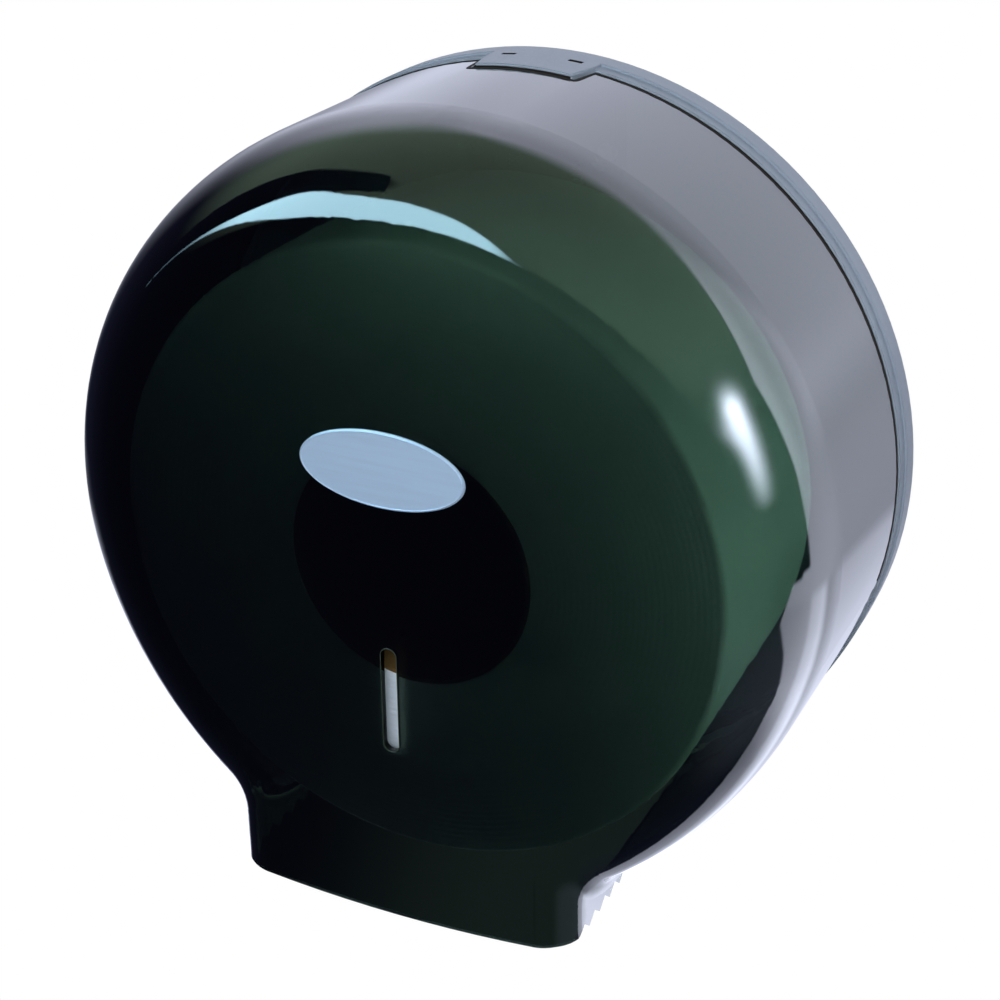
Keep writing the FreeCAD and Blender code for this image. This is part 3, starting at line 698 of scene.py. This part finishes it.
def screen_level(x, y, z):
    """Brightness of the pale screen and of the lit floor below it."""
    left, beside = -x, ramp(x, 0.42, 0.54)
    upper = 1.0 + (1 - beside) * ramp(-y, -0.72, -0.45) + beside * (0.4 + 0.9 * ramp(-y, -0.64, -0.45))
    lower = 0.41 + 1.19 * ramp(x, 0.2, 0.93)
    wall = upper + (lower - upper) * ramp(-z, -0.05, 0.15)
    floor = ramp(-z, 0.42, 0.46)
    near_floor = 1.33 + 0.55 * ramp(y, 0.49, 0.55) - 1.1 * ramp(y, 0.65, 0.73) - 0.1 * ramp(y, 0.82, 0.87)
    pale = (1 - floor) * wall + floor * near_floor * (1.0 - 0.7 * ramp(-z, 0.67, 0.83))
    return pale * (1.0 - 0.16 * ramp(left, 0.3, 0.44)) * (1.0 - 0.88 * ramp(left, 0.5, 0.85))


def hump(value, middle, width):
    """One at the middle, falling off as a bell curve of that width."""
    return np.exp(-((value - middle) / width) ** 2)


def strip_and_gap(x, y, z, lean):
    """Shares of the strip lamp over the front left and of the dark gap above it. Lean is the angle in
    degrees over the front, and the outlines are curves of it over the sideways part."""
    left = -x
    low = 38.5 - 3.0 * hump(left, 0.5, 0.15) + 20.0 * ramp(left, 0.68, 1.0)
    high = 40.0 + 22.0 * (1 - np.exp(-np.maximum(left, 0.0) / 0.15)) + 9.0 * hump(left, 0.72, 0.12)
    strip = ramp(lean, low - 1.0, low + 1.0) * ramp(high - lean, -1.0, 1.0) * ramp(left, -0.05, 0.10)
    strip = strip * (1.0 - 0.9 * ramp(left, 0.84, 0.98))
    gap_low = np.where(left < 0.62, 68.0, high - 2.0)
    gap_end = 0.43 + 0.05 * ((lean - 77.0) / 9.0) ** 2
    gap = ramp(lean, gap_low - 1.5, gap_low + 1.5) * ramp(y + 0.93 * z, 0.79, 0.73)
    return strip, gap * ramp(left - gap_end, -0.02, 0.02)


def side_level(x, y, z):
    """Brightness of the soft lamp on the right: a bell curve across, and along it an even rise and then a
    fall as half a bell curve."""
    brightest, bottom, rise, top, fall = 16.5, -0.05, 0.41, 0.35, 0.065
    width = 0.13 + 0.07 * hump(z, 0.28, 0.07) * ramp(-y, -0.05, 0.05)
    level = brightest * np.clip((z - bottom) / rise, 0.0, 1.0) * hump(np.maximum(z, top), top, fall)
    return level * hump(y, 0.02, width) * (x > 0)


def mirror_levels(ray):
    """Brightness of the studio in each direction, as a polished surface sees it: a pale screen behind, a lit
    floor below it, a dim ceiling with a dark gap, a strip lamp in an arc over the front left, a soft lamp on
    the right, and dark cloth elsewhere. The cards' edges are smooth steps."""
    x, y, z = ray[..., 0], ray[..., 1], ray[..., 2]
    lean = np.degrees(np.arctan2(z, -y))
    screen = screen_share(x, y, z)
    strip, gap = strip_and_gap(x, y, z, lean)
    ceiling = ramp(lean, 37.0, 42.0) * ramp(z, 0.2, 0.6) * (1 - screen) * (1 - gap)
    shade_floor = ramp(-z, 0.35, 0.55) * ramp(x, 0.4, 0.7) * (1 - screen)
    cards = ((screen * screen_level(x, y, z), (0.95, 1.0, 1.2)),
             (ceiling, (0.26, 0.38, 0.28)),
             (strip, (4.1, 6.9, 8.4)),
             (side_level(x, y, z), (0.9, 1.0, 1.2)),
             (shade_floor, (0.09, 0.11, 0.14)),
             (np.ones_like(x), (0.011, 0.012, 0.028)))
    return sum(level[..., None] * np.array(tint) for level, tint in cards)


def through_levels(ray):
    """Brightness of the studio in each direction, as it is seen through the clear cover: the screen behind
    is pale, and the rest is dark."""
    x, y, z = ray[..., 0], ray[..., 1], ray[..., 2]
    pale = ramp(y, 0.3, 0.6) * ramp(z, -0.3, -0.1) * ramp(x, -0.3, 0.1)
    level = 0.004 + 0.07 * ramp(x, -0.47, -0.33) * ramp(y, 0.3, 0.6) + 0.4 * pale
    return level[..., None] * np.array([0.8, 1.0, 0.95])


def at_most_one(tree, value):
    """A count of bounces brought to 0 or 1."""
    least = tree.nodes.new("ShaderNodeMath")
    least.operation = "MINIMUM"
    least.inputs[1].default_value = 1.0
    tree.links.new(value, least.inputs[0])
    return least.outputs[0]


def set_surround(studio):
    """Ball of screens, cards and cloth round the object, which mirrored and see-through rays meet and which
    lights nothing else. Its points lie on a ball that is cut off above the floor."""
    reach, above = 9.0, studio.floor_drop - 0.05
    u = np.linspace(-math.pi, math.pi, 361)[:, None]
    v = np.linspace(-math.pi / 2, math.pi / 2, 181)[None, :]
    ray = np.stack([np.cos(v) * np.sin(u), -np.cos(v) * np.cos(u), np.sin(v) + 0 * u], -1)
    distance = np.minimum(reach, above / np.maximum(-ray[..., 2], 1e-3))
    material = bpy.data.materials.new("surround")
    material.use_nodes = True
    tree = material.node_tree
    tree.nodes.remove(tree.nodes["Principled BSDF"])
    path = tree.nodes.new("ShaderNodeLightPath")
    mix = tree.nodes.new("ShaderNodeMixShader")
    ball = open_grid("surround", ray * distance[..., None], material)
    for name, levels, socket in (("mirrored", mirror_levels(ray), 1), ("through", through_levels(ray), 2)):
        values = np.concatenate([levels, np.ones_like(levels[..., :1])], -1)
        attribute = ball.data.attributes.new(name, "FLOAT_COLOR", "POINT")
        attribute.data.foreach_set("color", values.astype(np.float32).ravel())
        reader = tree.nodes.new("ShaderNodeAttribute")
        reader.attribute_name = name
        glow = add(tree, "ShaderNodeEmission", Strength=1.0)
        tree.links.new(reader.outputs["Color"], glow.inputs["Color"])
        tree.links.new(glow.outputs[0], mix.inputs[socket])
    tree.links.new(at_most_one(tree, path.outputs["Transmission Depth"]), mix.inputs["Fac"])
    tree.links.new(mix.outputs[0], tree.nodes["Material Output"].inputs["Surface"])
    material.cycles.emission_sampling = "NONE"
    ball.visible_camera = ball.visible_diffuse = ball.visible_shadow = False
    ball.visible_volume_scatter = False


def lamp(name, centre, aim, across, level, open_air):
    """Round lamp that fades to its edge, at a point and facing its aim, whose level is its mean brightness.
    A lamp for the open air isn't seen through the cover, and any other lights only what lies behind it."""
    data = bpy.data.lights.new(name, "AREA")
    data.shape, data.size = "DISK", across
    data.energy = level * math.pi * math.pi / 4 * across ** 2
    data.use_nodes = True
    tree = data.node_tree
    spot = tree.nodes.new("ShaderNodeNewGeometry")
    edge, peak = 0.5, 3.3
    reach = tree.nodes.new("ShaderNodeVectorMath")
    reach.operation = "DISTANCE"
    reach.inputs[1].default_value = (edge, edge, 0.0)
    fade = add(tree, "ShaderNodeMapRange", From_Min=edge, From_Max=0.0, To_Min=0.0, To_Max=peak)
    fade.interpolation_type = "SMOOTHSTEP"
    tree.links.new(spot.outputs["Parametric"], reach.inputs[0])
    tree.links.new(reach.outputs["Value"], fade.inputs["Value"])
    strength = fade.outputs["Result"]
    if not open_air:
        path = tree.nodes.new("ShaderNodeLightPath")
        behind = at_most_one(tree, path.outputs["Diffuse Depth"])
        strength = combine(tree, "MULTIPLY", behind, strength)
    tree.links.new(strength, tree.nodes["Emission"].inputs["Strength"])
    lamp_object = bpy.data.objects.new(name, data)
    toward = Vector(aim) - Vector(centre)
    lamp_object.rotation_mode = "QUATERNION"
    lamp_object.location = centre
    lamp_object.rotation_quaternion = toward.to_track_quat("-Z", "Y")
    lamp_object.visible_camera = lamp_object.visible_glossy = False
    lamp_object.visible_diffuse, lamp_object.visible_transmission = open_air, not open_air
    bpy.context.scene.collection.objects.link(lamp_object)


def set_lamps():
    """A soft key lamp near the camera, two close to the right and the top that shine through the cover on
    the roll's face, and one on the right that shines on its side."""
    lamp("key_lamp", (0.27, -0.70, 0.33), (0.0, -0.13, -0.05), across=0.36, level=14.5, open_air=True)
    lamp("face_lamp", (0.20, -0.20, 0.03), (0.20, 0.0, 0.03), across=0.14, level=13.0, open_air=False)
    lamp("top_lamp", (0.04, -0.20, 0.18), (0.04, 0.0, 0.18), across=0.14, level=17.5, open_air=False)
    lamp("side_lamp", (0.50, -0.03, 0.02), (0.08, -0.06, 0.0), across=0.60, level=16.0, open_air=False)


class DISPENSER_PT_panel(bpy.types.Panel):
    """Lists the dispenser's pieces and settings"""
    bl_label = "Dispenser"
    bl_idname = "DISPENSER_PT_panel"
    bl_space_type = "VIEW_3D"
    bl_region_type = "UI"
    bl_category = "Dispenser"

    def draw(self, context):
        for operator in OPERATORS:
            self.layout.operator(operator.bl_idname)
        for group in GROUPS:
            settings = getattr(context.scene, group)
            box = self.layout.box()
            for key in settings.bl_rna.properties.keys():
                if key not in ("rna_type", "name"):
                    box.prop(settings, key)


OPERATORS = (DISPENSER_OT_back_plate, DISPENSER_OT_front_cover, DISPENSER_OT_badge, DISPENSER_OT_paper_roll,
             DISPENSER_OT_core, DISPENSER_OT_black_parts, DISPENSER_OT_bearings, DISPENSER_OT_metal_parts,
             DISPENSER_OT_stage)
GROUPS = {"dispenser_finish": FinishSettings, "dispenser_roll": RollSettings,
          "dispenser_studio": StudioSettings}


def register():
    for kind in (*GROUPS.values(), *OPERATORS, DISPENSER_PT_panel):
        bpy.utils.register_class(kind)
    for name, kind in GROUPS.items():
        setattr(bpy.types.Scene, name, PointerProperty(type=kind))


def unregister():
    for name in GROUPS:
        delattr(bpy.types.Scene, name)
    for kind in reversed((*GROUPS.values(), *OPERATORS, DISPENSER_PT_panel)):
        bpy.utils.unregister_class(kind)


def main():
    register()
    bpy.ops.dispenser.back_plate()
    bpy.ops.dispenser.front_cover()
    bpy.ops.dispenser.badge()
    bpy.ops.dispenser.paper_roll()
    bpy.ops.dispenser.core()
    bpy.ops.dispenser.black_parts()
    bpy.ops.dispenser.bearings()
    bpy.ops.dispenser.metal_parts()
    bpy.ops.dispenser.stage()


if __name__ == "__main__":
    main()
